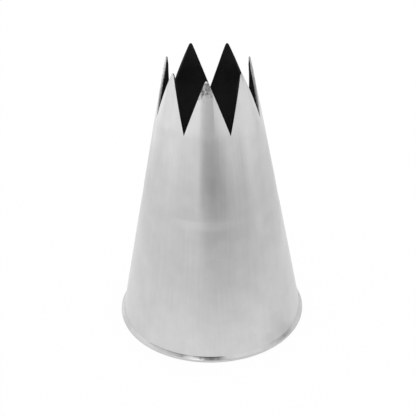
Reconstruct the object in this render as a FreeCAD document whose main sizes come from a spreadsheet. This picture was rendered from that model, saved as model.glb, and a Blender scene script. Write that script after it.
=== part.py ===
import FreeCAD, Part
import Sketcher
import math
import os

# Open-star piping nozzle: a hollow cone of thin stainless sheet, in millimetres. Its base edge is
# folded out into a narrow hem, and its narrow end is cut into a ring of pointed teeth.
# +Z runs up the cone's axis, and the origin is the centre of the circle that the hem stands on.
# The first tooth faces -Y, and the others follow it anticlockwise, seen from above.

# Driving dimensions: name, value and meaning. The sheet's thickness is measured level.
DRIVING_SIZES = [
    ("sheet_gauge", 0.4, "thickness of the sheet"),
    ("base_diameter", 30.8, "outside of the wall, where it turns into the hem"),
    ("draw_diameter", 22.4, "outside of the wall at the draw line"),
    ("root_diameter", 17.24, "outside of the wall at the roots of the teeth"),
    ("tip_opening", 13.0, "inside, across the tips of the teeth"),
    ("draw_height", 24.5, "from the resting face to the draw line, where the cone steepens a little"),
    ("neck_length", 14.6, "from the draw line up to the roots of the teeth"),
    ("tooth_length", 9.5, "from the roots up to the tips, along the axis"),
    ("tooth_count", 7, "teeth round the end, a plain count"),
    ("valley_rise", 0.35, "from the roots up to the bottoms of the notches"),
    ("tip_flat", 0.3, "width of a tooth's blunt end"),
    ("hem_height", 0.85, "from the resting face to the hem's free edge"),
    ("hem_gap", 0.04, "between the two layers of sheet at the fold"),
    ("hem_land", 0.3, "width of the flat ring that the hem stands on"),
    ("hem_edge_radius", 0.37, "rounding of the hem's free edge, on the outside"),
    ("cut_overrun", 2.0, "how far a notch's cutter reaches past the sheet"),
]

# Ends of a sketch curve, its centre, how curves meet, and the sketch's own origin and level axis
START, END, CENTRE = 1, 2, 3
CORNER, SMOOTH = "Coincident", "Tangent"
ORIGIN = (-1, 1)
LEVEL_AXIS = -1

# The hem's fold, and the wall's levels, each an outside diameter and a height. The hem lies flat
# along the wall, so it leans as the wall does.
FOLD_HEIGHT = "(Sizes.sheet_gauge + Sizes.hem_gap / 2)"
WALL_INSET = "((Sizes.base_diameter - Sizes.draw_diameter) / 2)"
WALL_LEAN = f"atan({WALL_INSET} / (Sizes.draw_height - {FOLD_HEIGHT}))"
LEG_GAUGE = f"(Sizes.sheet_gauge * cos({WALL_LEAN}))"
FOLD_RADIUS = f"({LEG_GAUGE} + Sizes.hem_gap / 2)"
FOLD_CENTRE_HEIGHT = f"sqrt({FOLD_RADIUS}^2 - (Sizes.hem_land / 2)^2)"
LEG_FOOT_HEIGHT = f"({FOLD_CENTRE_HEIGHT} + {FOLD_RADIUS} * sin({WALL_LEAN}))"
LEG_LENGTH = f"((Sizes.hem_height - {LEG_FOOT_HEIGHT}) / cos({WALL_LEAN}))"
ROUND_SHARE = 0.95  # the most of the leg's thickness and length that the rounding of its edge takes
EDGE_ROUND = f"min(Sizes.hem_edge_radius; {ROUND_SHARE} * {LEG_GAUGE}; {ROUND_SHARE} * {LEG_LENGTH})"
ROOT_HEIGHT = "(Sizes.draw_height + Sizes.neck_length)"
TIP_HEIGHT = f"({ROOT_HEIGHT} + Sizes.tooth_length)"
FOLD_LEVEL = ("Sizes.base_diameter", FOLD_HEIGHT)
DRAW_LEVEL = ("Sizes.draw_diameter", "Sizes.draw_height")
ROOT_LEVEL = ("Sizes.root_diameter", ROOT_HEIGHT)
TIP_LEVEL = ("(Sizes.tip_opening + 2 * Sizes.sheet_gauge)", TIP_HEIGHT)

# A notch's V-shaped punch: its turn from the middle of a tooth, its half width where it leaves a tooth's
# blunt end, its reach from the axis and its levels
TOOTH_ANGLE = "(360 / Sizes.tooth_count)"
NOTCH_ANGLE = f"({TOOTH_ANGLE} / 2)"
TIP_TURN = f"({NOTCH_ANGLE} * 1 deg - asin(Sizes.tip_flat / {TIP_LEVEL[0]}))"
TIP_HALF_WIDTH = f"({TIP_LEVEL[0]} / 2 * sin({TIP_TURN}))"
NEAR_REACH = f"(Sizes.tip_opening / 2 * cos({NOTCH_ANGLE}) - Sizes.cut_overrun)"
FAR_REACH = "(Sizes.root_diameter / 2 + Sizes.cut_overrun)"
VALLEY_HEIGHT = f"({ROOT_HEIGHT} + Sizes.valley_rise)"
CUT_TOP = f"({TIP_HEIGHT} + Sizes.cut_overrun)"
CUT_GROWTH = f"(({CUT_TOP} - {VALLEY_HEIGHT}) / ({TIP_HEIGHT} - {VALLEY_HEIGHT}))"


def make_sizes(doc):
    """The sheet of driving dimensions, one named cell each."""
    sizes = doc.addObject("Spreadsheet::Sheet", "Sizes")
    for row, (alias, value, note) in enumerate(DRIVING_SIZES, start=1):
        sizes.set(f"A{row}", alias)
        sizes.set(f"B{row}", str(value))
        sizes.set(f"C{row}", note)
        sizes.setAlias(f"B{row}", alias)
    doc.recompute()
    return sizes


def new_body(doc, label):
    """An empty body that bears the piece's name."""
    body = doc.addObject("PartDesign::Body", label.title().replace("_", ""))
    body.Label = label
    return body


def origin_plane(body, role):
    return next(plane for plane in body.Origin.OriginFeatures if plane.Role == role)


def new_sketch(body, name, role):
    """An empty sketch on one of the body's own origin planes."""
    sketch = body.newObject("Sketcher::SketchObject", name)
    sketch.AttachmentSupport = [(origin_plane(body, role), "")]
    sketch.MapMode = "FlatFace"
    return sketch


def fix(sketch, kind, *where):
    sketch.addConstraint(Sketcher.Constraint(kind, *where))


def bind(sketch, name, formula, kind, *where):
    """Adds a named dimension whose value follows a formula of the driving dimensions."""
    value = sketch.evalExpression(formula)
    row = sketch.addConstraint(Sketcher.Constraint(kind, *where, value))
    sketch.renameConstraint(row, name)
    sketch.setExpression(f"Constraints.{name}", formula)


def closed_outline(sketch, curves):
    """Draws curves in order round a loop. Each comes with the ends that it starts and finishes on, and
    with how it meets the next one."""
    rows = [sketch.addGeometry(curve, False) for curve, _, _, _ in curves]
    for here, (_, _, finish, meeting) in enumerate(curves):
        after = (here + 1) % len(curves)
        fix(sketch, meeting, rows[here], finish, rows[after], curves[after][1])
    return rows


def polygon(sketch, points):
    """Draws straight lines round a loop of corners."""
    corners = [FreeCAD.Vector(x, y, 0) for x, y in points]
    lines = [Part.LineSegment(a, b) for a, b in zip(corners, corners[1:] + corners[:1])]
    return closed_outline(sketch, [(line, START, END, CORNER) for line in lines])


def revolve(body, sketch, name):
    """Turns a section about the nozzle's axis."""
    turned = body.newObject("PartDesign::Revolution", name)
    turned.Profile = sketch
    turned.ReferenceAxis = (sketch, ["V_Axis"])
    return turned


def wall_profile(body, low_level, high_level):
    """The wall's section between two levels."""
    sketch = new_sketch(body, "WallProfile", "XZ_Plane")
    wall = sketch.evalExpression("Sizes.sheet_gauge")
    low_width, low = [sketch.evalExpression(formula) for formula in low_level]
    high_width, high = [sketch.evalExpression(formula) for formula in high_level]
    inner_foot = (low_width / 2 - wall, low)
    outer_foot = (low_width / 2, low)
    outer_head = (high_width / 2, high)
    inner_head = (high_width / 2 - wall, high)
    foot, outside, head, _ = polygon(sketch, [inner_foot, outer_foot, outer_head, inner_head])
    fix(sketch, "Horizontal", foot)
    fix(sketch, "Horizontal", head)
    bind(sketch, "low_radius", f"{low_level[0]} / 2", "DistanceX", *ORIGIN, outside, START)
    bind(sketch, "low_height", low_level[1], "DistanceY", *ORIGIN, outside, START)
    bind(sketch, "high_radius", f"{high_level[0]} / 2", "DistanceX", *ORIGIN, outside, END)
    bind(sketch, "high_height", high_level[1], "DistanceY", *ORIGIN, outside, END)
    bind(sketch, "foot_gauge", "Sizes.sheet_gauge", "DistanceX", foot, START, foot, END)
    bind(sketch, "head_gauge", "Sizes.sheet_gauge", "DistanceX", head, END, head, START)
    return sketch


def hem_profile(body):
    """The hem's section: the wall's foot turns outwards round a fold, with a small flat to stand on,
    and rises again as a free leg that lies along the wall."""
    sketch = new_sketch(body, "HemProfile", "XZ_Plane")
    fold = sketch.evalExpression(FOLD_RADIUS)
    gap = sketch.evalExpression("Sizes.hem_gap / 2")
    land = sketch.evalExpression("Sizes.hem_land / 2")
    top = sketch.evalExpression("Sizes.hem_height")
    seat_height = sketch.evalExpression(FOLD_HEIGHT)
    wall_foot = sketch.evalExpression("Sizes.base_diameter / 2")
    wall = sketch.evalExpression("Sizes.sheet_gauge")
    lean = math.radians(sketch.evalExpression(WALL_LEAN))
    centre_height = sketch.evalExpression(FOLD_CENTRE_HEIGHT)
    centre = FreeCAD.Vector(wall_foot + gap / math.cos(lean), centre_height, 0)
    outwards = FreeCAD.Vector(math.cos(lean), math.sin(lean), 0)

    def leg(across):
        beside = centre + outwards * across
        return FreeCAD.Vector(beside.x - (top - beside.y) * math.tan(lean), top, 0)

    def turn(radius, start, finish):
        circle = Part.Circle(centre, FreeCAD.Vector(0, 0, 1), radius)
        return Part.ArcOfCircle(circle, circle.parameter(start), circle.parameter(finish))

    seat_in = FreeCAD.Vector(wall_foot - wall, seat_height, 0)
    seat_out = FreeCAD.Vector(wall_foot, seat_height, 0)
    flat_in = FreeCAD.Vector(centre.x - land, 0, 0)
    flat_out = FreeCAD.Vector(centre.x + land, 0, 0)
    rows = closed_outline(sketch, [
        (Part.LineSegment(seat_in, centre - outwards * fold), START, END, SMOOTH),
        (turn(fold, centre - outwards * fold, flat_in), START, END, CORNER),
        (Part.LineSegment(flat_in, flat_out), START, END, CORNER),
        (turn(fold, flat_out, centre + outwards * fold), START, END, SMOOTH),
        (Part.LineSegment(centre + outwards * fold, leg(fold)), START, END, CORNER),
        (Part.LineSegment(leg(fold), leg(gap)), START, END, CORNER),
        (Part.LineSegment(leg(gap), centre + outwards * gap), START, END, SMOOTH),
        (turn(gap, centre - outwards * gap, centre + outwards * gap), END, START, SMOOTH),
        (Part.LineSegment(centre - outwards * gap, seat_out), START, END, CORNER),
        (Part.LineSegment(seat_out, seat_in), START, END, CORNER),
    ])
    wall_in, fold_in, flat, fold_out, leg_out, leg_top, leg_in, crease, wall_out, seat = rows
    for arc in (fold_out, crease):
        fix(sketch, "Coincident", fold_in, CENTRE, arc, CENTRE)
    for end in (START, END):
        fix(sketch, "PointOnObject", flat, end, LEVEL_AXIS)
    for line in (wall_in, leg_in, leg_out):
        fix(sketch, "Parallel", wall_out, line)
    fix(sketch, "Equal", fold_in, fold_out)
    fix(sketch, "Perpendicular", leg_top, leg_out)
    fix(sketch, "Horizontal", seat)
    bind(sketch, "fold_radius", FOLD_RADIUS, "Radius", fold_in)
    bind(sketch, "crease_radius", "Sizes.hem_gap / 2", "Radius", crease)
    bind(sketch, "flat_width", "Sizes.hem_land", "DistanceX", flat, START, flat, END)
    bind(sketch, "leg_height", "Sizes.hem_height", "DistanceY", *ORIGIN, leg_out, END)
    bind(sketch, "seat_radius", "Sizes.base_diameter / 2", "DistanceX", *ORIGIN, wall_out, END)
    bind(sketch, "seat_height", FOLD_HEIGHT, "DistanceY", *ORIGIN, wall_out, END)
    bind(sketch, "wall_lean", f"90 deg + {WALL_LEAN}", "Angle", wall_out)
    return sketch


def make_base_hem(doc):
    """The folded edge at the base, with the outer corner of its free edge rounded."""
    body = new_body(doc, "base_hem")
    ring = revolve(body, hem_profile(body), "Ring")
    doc.recompute()
    circles = [
        (edge.Curve.Center.z + edge.Curve.Radius, f"Edge{number}")
        for number, edge in enumerate(ring.Shape.Edges, start=1)
        if isinstance(edge.Curve, Part.Circle)
    ]
    free_corner = max(circles)[1]  # the circle that lies farthest up and out
    rounded = body.newObject("PartDesign::Fillet", "FreeEdge")
    rounded.Base = (ring, [free_corner])
    rounded.setExpression("Radius", EDGE_ROUND)
    doc.recompute()
    return body


def make_wall(doc, label, low_level, high_level):
    """One stretch of the cone's wall, open at both ends."""
    body = new_body(doc, label)
    revolve(body, wall_profile(body, low_level, high_level), "Wall")
    doc.recompute()
    return body


def notch_profile(body):
    """The V of a notch, on an upright plane that faces the axis, near it."""
    sketch = new_sketch(body, "NotchProfile", "YZ_Plane")
    turn = FreeCAD.Rotation(FreeCAD.Vector(0, 1, 0), sketch.evalExpression(NOTCH_ANGLE))
    sketch.AttachmentOffset = FreeCAD.Placement(FreeCAD.Vector(), turn)
    sketch.setExpression("AttachmentOffset.Rotation.Angle", NOTCH_ANGLE)
    sketch.setExpression("AttachmentOffset.Base.x", f"{NEAR_REACH} * sin({NOTCH_ANGLE})")
    sketch.setExpression("AttachmentOffset.Base.z", f"{NEAR_REACH} * cos({NOTCH_ANGLE})")
    cut_half_width = f"({TIP_HALF_WIDTH} * {CUT_GROWTH})"
    half = sketch.evalExpression(cut_half_width)
    low = sketch.evalExpression(VALLEY_HEIGHT)
    high = sketch.evalExpression(CUT_TOP)
    rising, top, falling = polygon(sketch, [(0, low), (half, high), (-half, high)])
    fix(sketch, "Horizontal", top)
    fix(sketch, "Equal", rising, falling)
    bind(sketch, "valley_height", VALLEY_HEIGHT, "DistanceY", *ORIGIN, rising, START)
    bind(sketch, "cut_top", CUT_TOP, "DistanceY", *ORIGIN, top, START)
    bind(sketch, "cut_half_width", cut_half_width, "DistanceX", *ORIGIN, top, START)
    bind(sketch, "cut_width", f"2 * {cut_half_width}", "DistanceX", top, END, top, START)
    return sketch


def make_tooth(doc, number, angle):
    """One tooth, turned by an angle from the front: a slice of the wall, with half a notch cut from
    each of its sides."""
    body = new_body(doc, f"tooth_{number}")
    wedge = revolve(body, wall_profile(body, ROOT_LEVEL, TIP_LEVEL), "Wedge")
    wedge.Midplane = True
    wedge.setExpression("Angle", TOOTH_ANGLE)
    profile = notch_profile(body)
    doc.recompute()
    notch = body.newObject("PartDesign::Pocket", "Notch")
    notch.Profile = profile
    notch.Reversed = True
    notch.setExpression("Length", f"{FAR_REACH} - {NEAR_REACH}")
    doc.recompute()
    other_notch = body.newObject("PartDesign::Mirrored", "OtherNotch")
    other_notch.Originals = [notch]
    other_notch.MirrorPlane = (origin_plane(body, "XZ_Plane"), [""])
    body.Tip = other_notch
    to_front = FreeCAD.Rotation(FreeCAD.Vector(1, 0, 0), FreeCAD.Vector(0, -1, 0))
    to_place = FreeCAD.Rotation(FreeCAD.Vector(0, 0, 1), angle)
    body.Placement = FreeCAD.Placement(FreeCAD.Vector(), to_place * to_front)
    doc.recompute()
    for before, after in ((wedge, notch), (notch, other_notch)):
        if after.Shape.Volume >= before.Shape.Volume:
            raise RuntimeError(f"{body.Label}: {after.Name} cut nothing")
    return body


def check(doc, pieces):
    """Stops if any object failed, or any piece isn't one sound solid."""
    for item in doc.Objects:
        if "Invalid" in item.State or "Error" in item.State:
            raise RuntimeError(f"{item.Label} failed: {item.State}")
    for piece in pieces:
        shape = piece.Shape
        if shape.isNull() or not shape.isValid() or len(shape.Solids) != 1:
            raise RuntimeError(f"{piece.Label} isn't one sound solid")


def main():
    doc = FreeCAD.newDocument("PipingNozzle")
    sizes = make_sizes(doc)
    pieces = [
        make_base_hem(doc),
        make_wall(doc, "lower_cone", FOLD_LEVEL, DRAW_LEVEL),
        make_wall(doc, "upper_cone", DRAW_LEVEL, ROOT_LEVEL),
    ]
    tooth_count = int(sizes.tooth_count)
    for number in range(1, tooth_count + 1):
        pieces.append(make_tooth(doc, number, sizes.evalExpression(f"{TOOTH_ANGLE} * {number - 1}")))
    check(doc, pieces)
    os.makedirs("parts", exist_ok=True)
    for piece in pieces:
        piece.Shape.exportStep(f"parts/{piece.Label}.step")
        box = piece.Shape.optimalBoundingBox()
        print(f"{piece.Label}: {piece.Shape.Volume:.3f} mm3, z {box.ZMin:.3f} to {box.ZMax:.3f}")


main()
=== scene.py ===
import math
import bmesh
import bpy
from mathutils import Matrix, Vector


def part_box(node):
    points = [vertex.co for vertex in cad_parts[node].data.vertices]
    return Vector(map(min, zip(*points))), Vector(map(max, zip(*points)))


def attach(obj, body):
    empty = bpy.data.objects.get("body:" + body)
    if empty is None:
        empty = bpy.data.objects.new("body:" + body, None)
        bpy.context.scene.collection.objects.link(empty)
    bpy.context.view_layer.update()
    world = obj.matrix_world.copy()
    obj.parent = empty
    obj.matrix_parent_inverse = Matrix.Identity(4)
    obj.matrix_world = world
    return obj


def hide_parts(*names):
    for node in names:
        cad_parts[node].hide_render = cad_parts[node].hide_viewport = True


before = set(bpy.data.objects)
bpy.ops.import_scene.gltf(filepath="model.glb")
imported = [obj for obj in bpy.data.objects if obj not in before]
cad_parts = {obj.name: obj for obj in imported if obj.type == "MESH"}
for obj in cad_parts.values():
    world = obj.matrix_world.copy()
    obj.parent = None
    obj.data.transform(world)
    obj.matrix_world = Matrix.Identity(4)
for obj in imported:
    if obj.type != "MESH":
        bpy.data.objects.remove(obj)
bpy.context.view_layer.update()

mm = 0.001
up = Vector((0, 0, 1))
white = (1, 1, 1, 1)
tiny = 0.001 * mm  # points closer than this are one
sheet = 0.4 * mm  # thickness of the steel

# where the CAD puts the wall: outside radius and height at each change of slope
footR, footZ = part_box("lower_cone")[1].x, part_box("lower_cone")[0].z
drawR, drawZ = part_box("upper_cone")[1].x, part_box("upper_cone")[0].z
rootR, rootZ = -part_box("tooth_1")[0].y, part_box("tooth_1")[0].z
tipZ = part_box("tooth_1")[1].z
wallLean = math.atan((footR - drawR) / (drawZ - footZ))
toothNodes = sorted(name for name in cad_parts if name.startswith("tooth_"))
print("frame:", len(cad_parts), "nodes,", len(toothNodes), "teeth")


# modelling helpers

def startProfile(name, points):
    # one vertex, pulled along the profile's points
    bpy.ops.object.select_all(action="DESELECT")
    bpy.ops.mesh.primitive_plane_add(size=mm, enter_editmode=True)
    piece = bpy.context.object
    piece.name = piece.data.name = name
    bpy.ops.mesh.select_mode(type="VERT")
    bpy.ops.mesh.merge(type="CENTER")
    bpy.ops.transform.translate(value=points[0])
    for here, there in zip(points, points[1:]):
        bpy.ops.mesh.extrude_region_move(TRANSFORM_OT_translate={"value": there - here})
    return piece


def pickVerts(piece, wanted):
    bpy.ops.mesh.select_mode(type="VERT")
    bpy.ops.mesh.select_all(action="DESELECT")
    mesh = bmesh.from_edit_mesh(piece.data)
    for vert in mesh.verts:
        vert.select = wanted(vert.co)
    mesh.select_flush_mode()
    bmesh.update_edit_mesh(piece.data)


def pickSharpEdges(piece, angle, wanted):
    bpy.ops.mesh.select_mode(type="EDGE")
    bpy.ops.mesh.select_all(action="DESELECT")
    mesh = bmesh.from_edit_mesh(piece.data)
    for edge in mesh.edges:
        sharp = len(edge.link_faces) == 2 and edge.calc_face_angle() > angle
        edge.select = sharp and all(wanted(vert.co) for vert in edge.verts)
    mesh.select_flush_mode()
    bmesh.update_edit_mesh(piece.data)


def spinAll(angle, steps, copies=False, closed=False):
    # spin turns clockwise about its axis, so the axis points down
    bpy.ops.mesh.select_all(action="SELECT")
    bpy.ops.mesh.spin(steps=steps, angle=angle, dupli=copies, use_auto_merge=closed,
                      center=(0, 0, 0), axis=-up)


def trim(at, outwards):
    # cuts off all that lies outwards of a plane
    bpy.ops.mesh.select_all(action="SELECT")
    bpy.ops.mesh.bisect(plane_co=at, plane_no=outwards.normalized(), clear_outer=True, threshold=tiny)


def closeSeams():
    bpy.ops.mesh.select_all(action="SELECT")
    bpy.ops.mesh.remove_doubles(threshold=tiny)
    bpy.ops.mesh.normals_make_consistent(inside=False)


def smoothShade(piece, angle):
    bpy.ops.object.select_all(action="DESELECT")
    piece.select_set(True)
    bpy.context.view_layer.objects.active = piece
    bpy.ops.object.shade_smooth_by_angle(angle=angle)


def along(direction, section):
    # a section's points, each a radius and a height, on the upright plane in that direction
    return [direction * radius + up * height for radius, height in section]


def arc(centre, radius, start, finish, steps):
    # points round an arc in a section, from start to finish, in radians
    angles = [start + (finish - start) * step / steps for step in range(steps + 1)]
    return [(centre[0] + radius * math.cos(a), centre[1] + radius * math.sin(a)) for a in angles]


# the wall and the teeth: one sheet

shell = {
    "tipOpening": 13.0 * mm,  # inside, across the tips
    "valleyRise": 0.2 * mm,  # bottoms of the notches above the roots
    "tipFlat": 0.4 * mm,  # width of a tip before its corners are rounded
    "tipSteps": 4,
    "tipThin": 0.5,  # share of the thickness left at the very tips
    "thinLength": 1.8 * mm,  # how far down from the tips they are thinned, on the inside
    "toothColumns": 36,  # faces across one tooth
    "drawTop": 1.1 * mm,  # the ring that drawing left: where it starts above the draw line
    "drawLow": 0.6 * mm,  # where it is deepest, below the line
    "drawFoot": 3.4 * mm,  # where it ends
    "drawDip": 0.045 * mm,
    "drawSteps": 6,
    "drawMargin": 0.2 * mm,  # rows beside the ring that keep its shading to itself
    "edgeBreak": 0.05 * mm,
    "edgeSteps": 2,
    "sharpAngle": math.radians(50),  # edges sharper than this are broken
    "smoothAngle": math.radians(40),
}
tipR = shell["tipOpening"] / 2 + sheet
pitch = 2 * math.pi / len(toothNodes)
front = -math.pi / 2  # the first tooth faces -Y


def wallRadius(height):
    levels = [(footR, footZ), (drawR, drawZ), (rootR, rootZ), (tipR, tipZ)]
    for (lowR, lowZ), (highR, highZ) in zip(levels, levels[1:]):
        if height <= highZ:
            return lowR + (highR - lowR) * (height - lowZ) / (highZ - lowZ)
    return tipR


def shellSection():
    # the ring dips gently from its top and comes back in a long curve at its foot
    footEnd, deepest, top = drawZ - shell["drawFoot"], drawZ - shell["drawLow"], drawZ + shell["drawTop"]
    dips = [(footEnd - shell["drawMargin"], 0)]
    for step in range(shell["drawSteps"] + 1):
        share = step / shell["drawSteps"]
        dip = shell["drawDip"] * math.sin(share * math.pi / 2) ** 2
        dips.append((footEnd + (deepest - footEnd) * share, dip))
    dips += [(top, 0), (top + shell["drawMargin"], 0)]
    ring = [(wallRadius(height) - dip, height) for height, dip in dips]
    thinZ = tipZ - shell["thinLength"]
    return [(footR, footZ)] + ring + [(rootR, rootZ), (wallRadius(thinZ), thinZ), (tipR, tipZ)]


def cutNotches():
    # half a notch off each side of the tooth, as a V-shaped punch leaves it
    valleyZ = rootZ + shell["valleyRise"]
    halfWidth = tipR * math.sin(pitch / 2 - math.asin(shell["tipFlat"] / 2 / tipR))
    for hand in (-1, 1):
        notch = front + hand * pitch / 2
        towardTooth = Vector((math.sin(notch), -math.cos(notch), 0)) * hand
        keep = towardTooth * (tipZ - valleyZ) - up * halfWidth
        trim(up * valleyZ, -keep)
        # the tip's corner is rounded by small cuts round a circle that touches its sides and its top
        lean = math.atan2(halfWidth, tipZ - valleyZ)
        radius = shell["tipFlat"] / 2 * math.cos(lean) / (1 - math.sin(lean))
        for step in range(1, shell["tipSteps"]):
            tilt = (math.pi / 2 - lean) * step / shell["tipSteps"]
            outwards = Vector((hand * math.sin(tilt), 0, math.cos(tilt)))
            trim(up * (tipZ - radius) + outwards * radius, outwards)


def thickenSheet(piece):
    # inwards, and thinner towards the tips
    thickness = piece.vertex_groups.new(name="thickness")
    for vert in piece.data.vertices:
        share = min(1, (tipZ - vert.co.z) / shell["thinLength"])
        thickness.add([vert.index], shell["tipThin"] + (1 - shell["tipThin"]) * share, "REPLACE")
    wall = piece.modifiers.new("sheet", "SOLIDIFY")
    wall.vertex_group = thickness.name
    wall.thickness = sheet * math.cos(wallLean)
    wall.offset = -1
    wall.use_even_offset = True
    wall.material_offset = 1  # the inside
    wall.material_offset_rim = 2  # the cut edges
    bpy.ops.object.modifier_apply(modifier=wall.name)


def makeShell(outsideFinish, insideFinish, edgeFinish):
    side = front - pitch / 2
    sideways = Vector((math.cos(side), math.sin(side), 0))
    piece = startProfile("wall_and_teeth", along(sideways, shellSection()))
    spinAll(pitch, shell["toothColumns"])
    cutNotches()
    spinAll(pitch * (len(toothNodes) - 1), len(toothNodes) - 1, copies=True)
    closeSeams()
    bpy.ops.object.mode_set(mode="OBJECT")
    for finish in (outsideFinish, insideFinish, edgeFinish):
        piece.data.materials.append(finish)
    thickenSheet(piece)

    bpy.ops.object.mode_set(mode="EDIT")
    pickVerts(piece, lambda at: at.z < footZ + sheet)  # the foot sits level on the hem
    bpy.ops.transform.resize(value=(1, 1, 0), center_override=up * footZ)
    pickSharpEdges(piece, shell["sharpAngle"], lambda at: at.z > rootZ)
    bpy.ops.mesh.bevel(offset=shell["edgeBreak"], segments=shell["edgeSteps"], affect="EDGES")
    bpy.ops.object.mode_set(mode="OBJECT")
    smoothShade(piece, shell["smoothAngle"])
    return piece


# the hem: the base edge, folded out and up, and pressed to the wall

hem = {
    "gap": 0.04 * mm,  # between the two layers of sheet
    "land": 0.3 * mm,  # flat ring that it stands on
    "height": 0.7 * mm,  # to the free edge's shoulder
    "edgeRound": 0.2 * mm,
    "edgeSlope": math.radians(42),  # how far the shoulder turns before it runs straight to the wall
    "columns": 252,
    "foldSteps": 12,
    "edgeRoundSteps": 8,
    "smoothAngle": math.radians(35),
}


def hemSection():
    halfGap = hem["gap"] / 2
    halfLand = hem["land"] / 2
    fold = sheet * math.cos(wallLean) + halfGap  # radius of the fold's outside
    centre = Vector((footR + halfGap / math.cos(wallLean), math.sqrt(fold ** 2 - halfLand ** 2)))
    outwards = Vector((math.cos(wallLean), math.sin(wallLean)))
    upwards = Vector((-math.sin(wallLean), math.cos(wallLean)))
    legLength = (hem["height"] - centre.y - fold * math.sin(wallLean)) / math.cos(wallLean)
    shoulder = centre + outwards * (fold - hem["edgeRound"]) + upwards * (legLength - hem["edgeRound"])
    flat = math.asin(halfLand / fold)
    bottom = 1.5 * math.pi
    slope = wallLean + hem["edgeSlope"]
    section = [(footR - sheet, footZ)]
    section += arc(centre, fold, math.pi + wallLean, bottom - flat, hem["foldSteps"])
    section += arc(centre, fold, bottom + flat, 2 * math.pi + wallLean, hem["foldSteps"])
    section += arc(shoulder, hem["edgeRound"], wallLean, slope, hem["edgeRoundSteps"])
    # from the shoulder straight to where it meets the wall
    lastR, lastZ = section[-1]
    wallR = footR - (lastZ - footZ) * math.tan(wallLean)
    rise = (lastR - wallR) / (math.tan(slope) - math.tan(wallLean))
    section.append((lastR - rise * math.tan(slope), lastZ + rise))
    return section + [(footR, footZ)]


def makeHem(finish):
    piece = startProfile("base_fold", along(Vector((0, -1, 0)), hemSection()))
    pickVerts(piece, lambda at: abs(at.z - footZ) < tiny)
    bpy.ops.mesh.edge_face_add()  # closes the section on the seat
    spinAll(2 * math.pi, hem["columns"], closed=True)
    closeSeams()
    bpy.ops.object.mode_set(mode="OBJECT")
    piece.data.materials.append(finish)
    smoothShade(piece, hem["smoothAngle"])
    return piece


# node helpers

def setInputs(tree, node, inputs):
    # a socket is linked, and a plain value is set
    for name, value in dict(inputs).items():
        if isinstance(value, bpy.types.NodeSocket):
            tree.links.new(value, node.inputs[name])
        else:
            node.inputs[name].default_value = value


def addNode(tree, kind, inputs=(), **settings):
    node = tree.nodes.new(kind)
    for name, value in settings.items():
        setattr(node, name, value)
    setInputs(tree, node, inputs)
    return node


def mathNode(tree, operation, *values):
    return addNode(tree, "ShaderNodeMath", dict(enumerate(values)), operation=operation).outputs[0]


def total(tree, first, *others):
    for other in others:
        first = mathNode(tree, "ADD", first, other)
    return first


def product(tree, first, *others):
    for other in others:
        first = mathNode(tree, "MULTIPLY", first, other)
    return first


def ramp(tree, value, fromLow, fromHigh, toLow=0.0, toHigh=1.0, smooth=True):
    return addNode(tree, "ShaderNodeMapRange", {
        "Value": value, "From Min": fromLow, "From Max": fromHigh, "To Min": toLow, "To Max": toHigh,
    }, interpolation_type="SMOOTHSTEP" if smooth else "LINEAR").outputs["Result"]


def placeIn(tree):
    return addNode(tree, "ShaderNodeTexCoord").outputs["Object"]


def axesOf(tree, vector):
    return addNode(tree, "ShaderNodeSeparateXYZ", {0: vector}).outputs


def levelOf(tree, vector):
    axes = axesOf(tree, vector)
    return addNode(tree, "ShaderNodeCombineXYZ", {"X": axes["X"], "Y": axes["Y"]}).outputs[0]


def heightIn(tree):
    return axesOf(tree, placeIn(tree))["Z"]


def reachIn(tree):
    # distance from the axis
    level = levelOf(tree, placeIn(tree))
    return addNode(tree, "ShaderNodeVectorMath", {0: level}, operation="LENGTH").outputs["Value"]


def wayIn(tree):
    # level direction from the axis
    level = levelOf(tree, placeIn(tree))
    return addNode(tree, "ShaderNodeVectorMath", {0: level}, operation="NORMALIZE").outputs[0]


def facing(tree, way, turn):
    # cosine of the angle between a direction and a turn from the front
    middle = (math.sin(turn), -math.cos(turn), 0)
    node = addNode(tree, "ShaderNodeVectorMath", {0: way, 1: middle}, operation="DOT_PRODUCT")
    return node.outputs["Value"]


# marks that the finishes share

turned = {
    "streakRise": 0.12,  # how fast streaks change up the wall, per millimetre
    "lineTurn": 1.5,  # how fast lines change round it
    "fleckScale": 2.2,  # flecks in a millimetre
    "fineDetail": 3.0,
    "plainDetail": 2.0,
    "usualRange": (0.3, 0.7),  # where most of a noise lies
}


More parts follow.
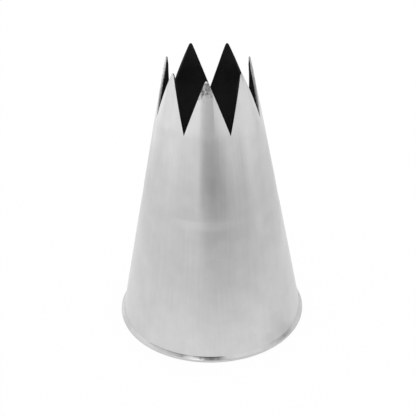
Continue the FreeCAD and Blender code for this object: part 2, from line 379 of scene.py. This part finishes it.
def makeTurnedMarks():
    # marks that run up the wall, marks that run round it, cloudy patches and small flecks
    group = bpy.data.node_groups.new("turnedMarks", "ShaderNodeTree")
    for name in ("Streaks", "Lines", "Clouds"):
        group.interface.new_socket(name, in_out="INPUT", socket_type="NodeSocketFloat")
    for name in ("Streak", "Line", "Cloud", "Fleck"):
        group.interface.new_socket(name, in_out="OUTPUT", socket_type="NodeSocketFloat")
    given = addNode(group, "NodeGroupInput").outputs
    result = addNode(group, "NodeGroupOutput")

    def scaled(vector, scale):
        node = addNode(group, "ShaderNodeVectorMath", {0: vector, "Scale": scale}, operation="SCALE")
        return node.outputs[0]

    inMillimetres = scaled(placeIn(group), 1 / mm)
    height = axesOf(group, inMillimetres)["Z"]
    way = wayIn(group)

    def stretched(around, upwards):
        lifted = addNode(group, "ShaderNodeCombineXYZ", {"Z": product(group, height, upwards)}).outputs[0]
        node = addNode(group, "ShaderNodeVectorMath", {0: scaled(way, around), 1: lifted}, operation="ADD")
        return node.outputs[0]

    def noise(vector, detail):
        texture = addNode(group, "ShaderNodeTexNoise", {"Vector": vector, "Scale": 1.0, "Detail": detail})
        return texture.outputs["Fac"]

    setInputs(group, result, {
        "Streak": noise(stretched(given["Streaks"], turned["streakRise"]), turned["fineDetail"]),
        "Line": noise(stretched(turned["lineTurn"], given["Lines"]), turned["plainDetail"]),
        "Cloud": noise(scaled(inMillimetres, given["Clouds"]), turned["fineDetail"]),
        "Fleck": noise(scaled(inMillimetres, turned["fleckScale"]), turned["plainDetail"]),
    })
    return group


turnedMarks = makeTurnedMarks()


def marksIn(tree, streaks, lines, clouds):
    sizes = {"Streaks": streaks, "Lines": lines, "Clouds": clouds}
    return addNode(tree, "ShaderNodeGroup", sizes, node_tree=turnedMarks).outputs


def spread(tree, mark, amount):
    # a mark as a change from -amount to amount
    return ramp(tree, mark, *turned["usualRange"], -amount, amount, smooth=False)


def newFinish(name):
    material = bpy.data.materials.new(name)
    material.use_nodes = True
    tree = material.node_tree
    return material, tree, tree.nodes["Principled BSDF"]


# satin steel, outside

satin = {
    "marks": (45.0, 8.0, 0.35),  # how close streaks, lines and clouds lie
    "steel": 0.635,
    "toothPaler": 0.035,
    "streakTone": 0.012,
    "cloudTone": 0.02,
    "neckRough": 0.22,
    "toothRough": 0.255,
    "lowerRough": 0.255,
    "roughTone": 0.012,
    "brushing": 0.5,  # how much the brushing draws out a reflection
    "brushTurn": 0.25,  # share of a turn: up the wall
    "bump": 0.05,
    "bumpDepth": 0.01 * mm,
    "zoneEdge": 0.8 * mm,  # how soft the step between two zones is
    "scuffTop": tipZ - 0.8 * mm,  # dull marks at the front tooth's tip: partly scuffs, partly painted shade of the crumpled tip
    "scuffFoot": tipZ - 2.9 * mm,
    "scuffWander": 0.8 * mm,
    "scuffLean": 3 * mm,  # how much lower they reach on the left
    "scuffEnd": (tipZ - 0.15 * mm, tipZ - 0.45 * mm),  # the very tip stays bright
    "scuffHalf": math.radians(25),
    "scuffAndShadeTone": 0.44,
    "scuffFleck": 0.1,
    "ringTop": drawZ + 0.8 * mm,  # the lower wall's finish starts here
    "ringFoot": (drawZ - 1.5 * mm, drawZ - 0.2 * mm),
    "ringHighlightTone": 0.036,  # the ring is painted brighter near the front, a painted highlight
    "ringTurn": math.radians(-5),
    "ringHalf": (math.radians(32), math.radians(5)),  # where that ends, and where it starts to fade
}


# painted highlight: the drawn ring is painted brighter towards the front
def paintedRingHighlight(tree, height, way, below):
    ends = [math.cos(half) for half in satin["ringHalf"]]
    around = ramp(tree, facing(tree, way, satin["ringTurn"]), *ends)
    return product(tree, around, below, satin["ringHighlightTone"], ramp(tree, height, *satin["ringFoot"]))


# partly real scuffs, partly painted shade: the front tooth's tip is painted darker
def scuffAndShadeAtTip(tree, height, way, fleck):
    aside = axesOf(tree, way)["X"]
    edge = mathNode(tree, "MULTIPLY_ADD", aside, -satin["scuffLean"], height)
    edge = total(tree, edge, spread(tree, fleck, satin["scuffWander"]))
    scuffed = ramp(tree, edge, satin["scuffFoot"], satin["scuffTop"])
    onFront = mathNode(tree, "GREATER_THAN", facing(tree, way, 0), math.cos(satin["scuffHalf"]))
    dull = total(tree, satin["scuffAndShadeTone"], spread(tree, fleck, satin["scuffFleck"]))
    return product(tree, scuffed, ramp(tree, height, *satin["scuffEnd"]), onFront, dull)


def makeSatin():
    material, tree, shader = newFinish("satinSteel")
    marks = marksIn(tree, *satin["marks"])
    height = heightIn(tree)
    way = wayIn(tree)
    wander = total(tree, height, spread(tree, marks["Cloud"], satin["zoneEdge"]))
    onTeeth = ramp(tree, wander, rootZ - satin["zoneEdge"], rootZ + satin["zoneEdge"])
    below = ramp(tree, height, satin["ringTop"], satin["ringTop"] - satin["zoneEdge"] / 2)

    tone = total(tree, satin["steel"],
                 spread(tree, marks["Streak"], satin["streakTone"]),
                 spread(tree, marks["Cloud"], satin["cloudTone"]),
                 product(tree, onTeeth, satin["toothPaler"]),
                 paintedRingHighlight(tree, height, way, below))
    tone = mathNode(tree, "SUBTRACT", tone, scuffAndShadeAtTip(tree, height, way, marks["Fleck"]))
    rough = total(tree, satin["neckRough"],
                  spread(tree, marks["Streak"], satin["roughTone"]),
                  product(tree, onTeeth, satin["toothRough"] - satin["neckRough"]),
                  product(tree, below, satin["lowerRough"] - satin["neckRough"]))
    bump = addNode(tree, "ShaderNodeBump", {
        "Height": marks["Streak"], "Strength": satin["bump"], "Distance": satin["bumpDepth"],
    })
    tangent = addNode(tree, "ShaderNodeTangent", direction_type="RADIAL", axis="Z")
    setInputs(tree, shader, {
        "Base Color": tone, "Roughness": rough, "Metallic": 1.0,
        "Normal": bump.outputs[0], "Tangent": tangent.outputs[0],
        "Anisotropic": satin["brushing"], "Anisotropic Rotation": satin["brushTurn"],
    })
    return material


# the inside: steel painted near black, a painted shade, darkest near the tips

inside = {
    "marks": (30.0, 5.0, 0.4),
    "top": 44 * mm,  # above this it is darkest
    "topTone": 0.016,
    "deep": 30 * mm,  # below this the painted shade is lightest
    "deepTone": 0.09,
    "cloudTone": 0.004,
    "rough": 0.65,
    "roughTone": 0.1,
    "shine": 0.05,
}


def makeInside():
    material, tree, shader = newFinish("paintedShadeInside")
    marks = marksIn(tree, *inside["marks"])
    # painted shade: near black by the tips, lighter deeper down
    tone = ramp(tree, heightIn(tree), inside["deep"], inside["top"], inside["deepTone"], inside["topTone"])
    tone = total(tree, tone, spread(tree, marks["Cloud"], inside["cloudTone"]))
    rough = total(tree, inside["rough"], spread(tree, marks["Line"], inside["roughTone"]))
    setInputs(tree, shader, {"Base Color": tone, "Roughness": rough, "Specular IOR Level": inside["shine"]})
    return material


# cut edges of the teeth

cutEdge = {
    "marks": (60.0, 12.0, 1.5),
    "steel": 0.5,
    "fleckTone": 0.08,
    "rough": 0.36,
    "roughTone": 0.05,
    "edgeShade": 0.04,  # painted shade: the cuts are painted dark, but for those on the two side teeth
    "shadeFreeFrom": (0.82, 0.92),  # sideways part of the direction from the axis
}


def makeCutEdge():
    material, tree, shader = newFinish("cutEdge")
    marks = marksIn(tree, *cutEdge["marks"])
    aside = mathNode(tree, "ABSOLUTE", axesOf(tree, wayIn(tree))["X"])
    # painted shade on the cut edges, left off on the two side teeth
    shadeFree = ramp(tree, aside, *cutEdge["shadeFreeFrom"], cutEdge["edgeShade"], 1.0)
    tone = total(tree, cutEdge["steel"], spread(tree, marks["Fleck"], cutEdge["fleckTone"]))
    rough = total(tree, cutEdge["rough"], spread(tree, marks["Line"], cutEdge["roughTone"]))
    setInputs(tree, shader, {"Base Color": product(tree, tone, shadeFree), "Roughness": rough, "Metallic": 1.0})
    return material


# steel polished by the fold

polished = {
    "marks": (25.0, 10.0, 0.8),
    "steel": 0.62,
    "cloudTone": 0.03,
    "rough": 0.15,
    "roughTone": 0.05,
    "creaseShadeReach": (0.03 * mm, 0.2 * mm),  # from the wall, how far the painted shade in the crease shows
    # painted shade in the crease where the fold stands a little off the wall: turn from the front and half
    # width in degrees, how dark
    "creaseShades": [(-34, 5, 0.16), (-20, 6, 0.22), (-2, 7, 0.3), (51, 7, 0.08), (110, 9, 0.12), (166, 12, 0.12),
              (222, 10, 0.12)],
    "creaseShadeSoft": 5,
}


def makePolished():
    material, tree, shader = newFinish("polishedHem")
    marks = marksIn(tree, *polished["marks"])
    way = wayIn(tree)
    slope = math.tan(wallLean)
    wall = mathNode(tree, "MULTIPLY_ADD", heightIn(tree), -slope, footR + footZ * slope)
    fromWall = mathNode(tree, "SUBTRACT", reachIn(tree), wall)
    # painted shade along the crease where the fold meets the wall
    creaseMask = ramp(tree, fromWall, *polished["creaseShadeReach"], 1.0, 0.0)
    shown = 0.0
    for turn, half, dark in polished["creaseShades"]:
        ends = [math.cos(math.radians(angle)) for angle in (half + polished["creaseShadeSoft"], half)]
        here = ramp(tree, facing(tree, way, math.radians(turn)), *ends, 0.0, dark)
        shown = mathNode(tree, "MAXIMUM", shown, here)
    tone = total(tree, polished["steel"], spread(tree, marks["Cloud"], polished["cloudTone"]))
    tone = mathNode(tree, "SUBTRACT", tone, product(tree, creaseMask, shown))
    rough = total(tree, polished["rough"], spread(tree, marks["Streak"], polished["roughTone"]))
    setInputs(tree, shader, {"Base Color": tone, "Roughness": rough, "Metallic": 1.0})
    return material


# floor

floor = {
    "reach": 1.2,  # metres from the middle to a side
    "glow": 0.95,  # share of the floor's white that doesn't depend on the light
    "paper": (0.98, 0.98, 0.98, 1),
    "contact": (15.9 * mm, 17.8 * mm),  # metal sees the floor's shadow from the base out to here
    "contactGlow": 0.25,
    "contactSides": (0.15, 0.7),  # it fades out towards the two sides
}


def newStageMaterial(name):
    material = bpy.data.materials.new(name)
    material.use_nodes = True
    material.node_tree.nodes.clear()
    return material, material.node_tree


def makePaper():
    # seen directly it is nearly plain white, and it keeps a little of the shadow
    material, tree = newStageMaterial("whitePaper")
    ahead = mathNode(tree, "ABSOLUTE", axesOf(tree, wayIn(tree))["Y"])
    least = ramp(tree, ahead, *floor["contactSides"], 1.0, floor["contactGlow"])
    unshaded = mathNode(tree, "MAXIMUM", least, ramp(tree, reachIn(tree), *floor["contact"]))
    path = addNode(tree, "ShaderNodeLightPath").outputs
    mirrored = product(tree, path["Is Glossy Ray"], unshaded)
    seen = mathNode(tree, "MAXIMUM", path["Is Camera Ray"], path["Is Transmission Ray"])
    share = product(tree, mathNode(tree, "MAXIMUM", seen, mirrored), floor["glow"])
    matt = addNode(tree, "ShaderNodeBsdfDiffuse", {"Color": floor["paper"]})
    glow = addNode(tree, "ShaderNodeEmission", {"Color": white, "Strength": 1.0})
    mixed = addNode(tree, "ShaderNodeMixShader", {0: share, 1: matt.outputs[0], 2: glow.outputs[0]})
    addNode(tree, "ShaderNodeOutputMaterial", {"Surface": mixed.outputs[0]})
    return material


def makeFloor():
    bpy.ops.object.select_all(action="DESELECT")
    bpy.ops.mesh.primitive_plane_add(size=2 * floor["reach"])
    paper = bpy.context.object
    paper.name = "paper_floor"
    paper.data.materials.append(makePaper())


# light tent: white cloth close by, which only the metal sees

tent = {
    "radius": 80 * mm,
    "height": 260 * mm,
    "skirt": 16 * mm,  # radius of the hole in the cloth that lies on the floor
    "lift": 0.2 * mm,
    "columns": 96,
    # brightness, by the way along the cloth: below 0 on the floor, above 0 up the side
    "low": 0.82,
    "high": 1.06,
    "floorFade": (-56 * mm, -22 * mm),
    "sideFade": (3 * mm, 22 * mm),
    "sideways": 0.045,  # how much brighter the left is than the middle
    "frontDim": 0.03,
    "frontFull": 0.9,  # how far forward a direction points where that is full
    # darker places, brighter where below 0, under the surface that shows them most: how dark, then the
    # turns in degrees and the levels in millimetres that each fades in and out over
    "places": {
        "neck": [
            (0.49, (-20, -8), (8, 50), (8.5, 16), (20, 31)),  # where the cloth is open
            (0.05, (-8, 10), (60, 80), (2, 8), (22, 30)),
            (0.07, (12, 28), (50, 70), (4, 8), (14, 20)),
            (0.12, (-66, -46), (-22, -14), (2, 9), (20, 30)),  # a thin shade on the left of that
            (-0.06, (30, 38), (56, 62), (18, 21), (24, 28)),  # and bright cloth on the right
        ],
        "teeth": [
            (0.24, (-28, 0), (6, 33), (18, 30), (62, 75)),  # the opening's upper part
            (0.16, (-43, 9), (36, 72), (28, 32), (62, 75)),
            (-0.11, (14, 20), (40, 56), (24, 27), (34, 40)),
        ],
        "lowerWall": [
            (0.11, (-20, -8), (62, 80), (7, 14), (16, 30)),  # the opening's foot
            (0.09, (-12, -4), (62, 80), (-14, 4), (13, 27)),
            (0.04, (-6, 2), (24, 40), (-40, -30), (-6, 4)),
            (0.035, (-100, -75), (-46, -38), (-34, -24), (0, 6)),  # the floor on the left
            (-0.03, (-40, -34), (-18, -12), (-34, -28), (-12, -6)),
        ],
        "foot": [
            (0.12, (52, 66), (165, 178), (-66, -65), (-52, -42)),  # the floor close by, on the right
            (0.15, (40, 50), (66, 76), (-66, -65), (-61, -56)),
            (0.03, (-4, 8), (40, 60), (-66, -65), (-54, -48)),  # in front
            (0.07, (-178, -165), (-62, -46), (-66, -65), (-50, -40)),  # and on the left
        ],
        "back": [
            (-0.10, (-175, -165), (-118, -105), (-10, 0), (50, 70)),  # bright cloth
            (-0.08, (105, 125), (165, 178), (-10, 0), (50, 70)),
            (0.28, (152, 172), (190, 200), (0, 8), (70, 90)),  # and a gap in its middle
            (0.28, (-200, -190), (-172, -152), (0, 8), (70, 90)),
        ],
        "hem": [
            (-0.12, (-150, -142), (-128, -124), (-4, 0), (8, 12)),  # the cloth's foot, at the sides
            (0.20, (-127, -123), (-110, -104), (14, 18), (30, 38)),
            (0.18, (108, 114), (132, 138), (9, 14), (32, 40)),
            (0.85, (-28, -22), (6, 28), (112, 130), (250, 260)),  # the open top, in front
            (0.52, (-12, -8), (6, 28), (60, 72), (112, 130)),
            (-3.00, (-28, -22), (-11, -7), (60, 70), (100, 116)),  # a small bright lamp
            (-0.20, (-40, -36), (-28, -24), (112, 122), (140, 160)),
            (0.26, (-50, -46), (-42, -38), (85, 95), (130, 145)),  # shade on the left of it
            (0.20, (-84, -76), (-41, -36), (60, 72), (130, 150)),
            (0.16, (-62, -54), (-41, -36), (80, 92), (130, 150)),
            (-0.14, (34, 40), (46, 50), (100, 110), (135, 150)),  # and on the right
            (0.20, (68, 82), (92, 104), (30, 40), (84, 98)),
            (0.07, (-128, -112), (-84, -74), (20, 32), (66, 80)),
        ],
        "cutEdges": [
            (0.40, (80, 95), (125, 140), (32, 42), (50, 60)),
        ],
    },
}


def darkPlace(tree, turn, run, amount, left, right, foot, top):
    left, right = [[math.radians(angle) for angle in side] for side in (left, right)]
    foot, top = [[level * mm for level in end] for end in (foot, top)]
    return product(tree, ramp(tree, turn, *left), ramp(tree, turn, *right, 1.0, 0.0),
                   ramp(tree, run, *foot), ramp(tree, run, *top, amount, 0.0))


def makeCloth():
    material, tree = newStageMaterial("tentCloth")
    side = axesOf(tree, wayIn(tree))
    run = total(tree, heightIn(tree), mathNode(tree, "SUBTRACT", reachIn(tree), tent["radius"]))
    turn = mathNode(tree, "ARCTAN2", side["X"], product(tree, side["Y"], -1.0))
    sideways = ramp(tree, run, *tent["floorFade"], 0.0, -tent["sideways"])
    light = total(tree, ramp(tree, run, *tent["sideFade"], tent["low"], tent["high"]),
                  ramp(tree, run, *tent["floorFade"], 1 - tent["low"], 0.0),
                  product(tree, side["X"], sideways))
    frontDim = ramp(tree, side["Y"], 0.0, -tent["frontFull"], 0.0, tent["frontDim"])
    frontDim = product(tree, frontDim, ramp(tree, run, *tent["floorFade"]))
    light = mathNode(tree, "SUBTRACT", light, frontDim)
    for places in tent["places"].values():
        for place in places:
            light = mathNode(tree, "SUBTRACT", light, darkPlace(tree, turn, run, *place))
    glow = addNode(tree, "ShaderNodeEmission", {"Color": white, "Strength": light})
    addNode(tree, "ShaderNodeOutputMaterial", {"Surface": glow.outputs[0]})
    return material


def makeTent():
    # a ring just over the floor, pulled out flat and then up
    bpy.ops.object.select_all(action="DESELECT")
    bpy.ops.mesh.primitive_circle_add(vertices=tent["columns"], radius=tent["skirt"], enter_editmode=True)
    bpy.ops.mesh.select_mode(type="EDGE")
    bpy.ops.mesh.select_all(action="SELECT")
    bpy.ops.transform.translate(value=up * tent["lift"])
    bpy.ops.mesh.extrude_region_move()
    widen = tent["radius"] / tent["skirt"]
    bpy.ops.transform.resize(value=(widen, widen, 1), center_override=(0, 0, 0))
    bpy.ops.mesh.extrude_region_move(TRANSFORM_OT_translate={"value": up * tent["height"]})
    bpy.ops.object.mode_set(mode="OBJECT")
    cloth = bpy.context.object
    cloth.name = "tent_cloth"
    for unseen in ("visible_camera", "visible_diffuse", "visible_transmission", "visible_shadow"):
        setattr(cloth, unseen, False)
    cloth.data.materials.append(makeCloth())


# light and camera

def makeLight():
    world = bpy.data.worlds.new("studio")
    bpy.context.scene.world = world
    world.use_nodes = True
    tree = world.node_tree
    setInputs(tree, tree.nodes["Background"], {"Color": white, "Strength": 1.0})


view = {
    "turn": math.radians(2.231),  # to the right of the front tooth
    "rise": math.radians(33.015),
    "roll": math.radians(-1.024),
    "distance": 265.49 * mm,
    "aimAside": -0.385 * mm,
    "aimHeight": 20.717 * mm,
    "focal": 1575.35,  # in pixels of the picture's width
    "width": 416,
    "sensor": 36,
}


def makeCamera():
    camera = bpy.data.cameras.new("camera")
    camera.sensor_width = view["sensor"]
    camera.lens = view["focal"] / view["width"] * view["sensor"]
    camera.clip_start = mm
    eye = bpy.data.objects.new("camera", camera)
    bpy.context.scene.collection.objects.link(eye)
    right = Vector((math.cos(view["turn"]), math.sin(view["turn"]), 0))
    back = Vector((right.y, -right.x, math.tan(view["rise"]))).normalized()
    aim = right * view["aimAside"] + up * view["aimHeight"]
    axes = Matrix((right, back.cross(right), back)).transposed()
    rolled = axes @ Matrix.Rotation(view["roll"], 3, "Z")
    eye.matrix_world = Matrix.Translation(aim + back * view["distance"]) @ rolled.to_4x4()
    bpy.context.scene.camera = eye


# put together

wallAndTeeth = makeShell(makeSatin(), makeInside(), makeCutEdge())
print("shell:", len(wallAndTeeth.data.polygons), "faces")
baseFold = makeHem(makePolished())
print("hem:", len(baseFold.data.polygons), "faces")

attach(wallAndTeeth, "root")
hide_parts("lower_cone", "upper_cone", *toothNodes)
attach(baseFold, "root")
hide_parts("base_hem")

makeFloor()
makeTent()
makeLight()
makeCamera()
bpy.context.scene.view_settings.view_transform = "Standard"
print("stage: floor, tent and camera")
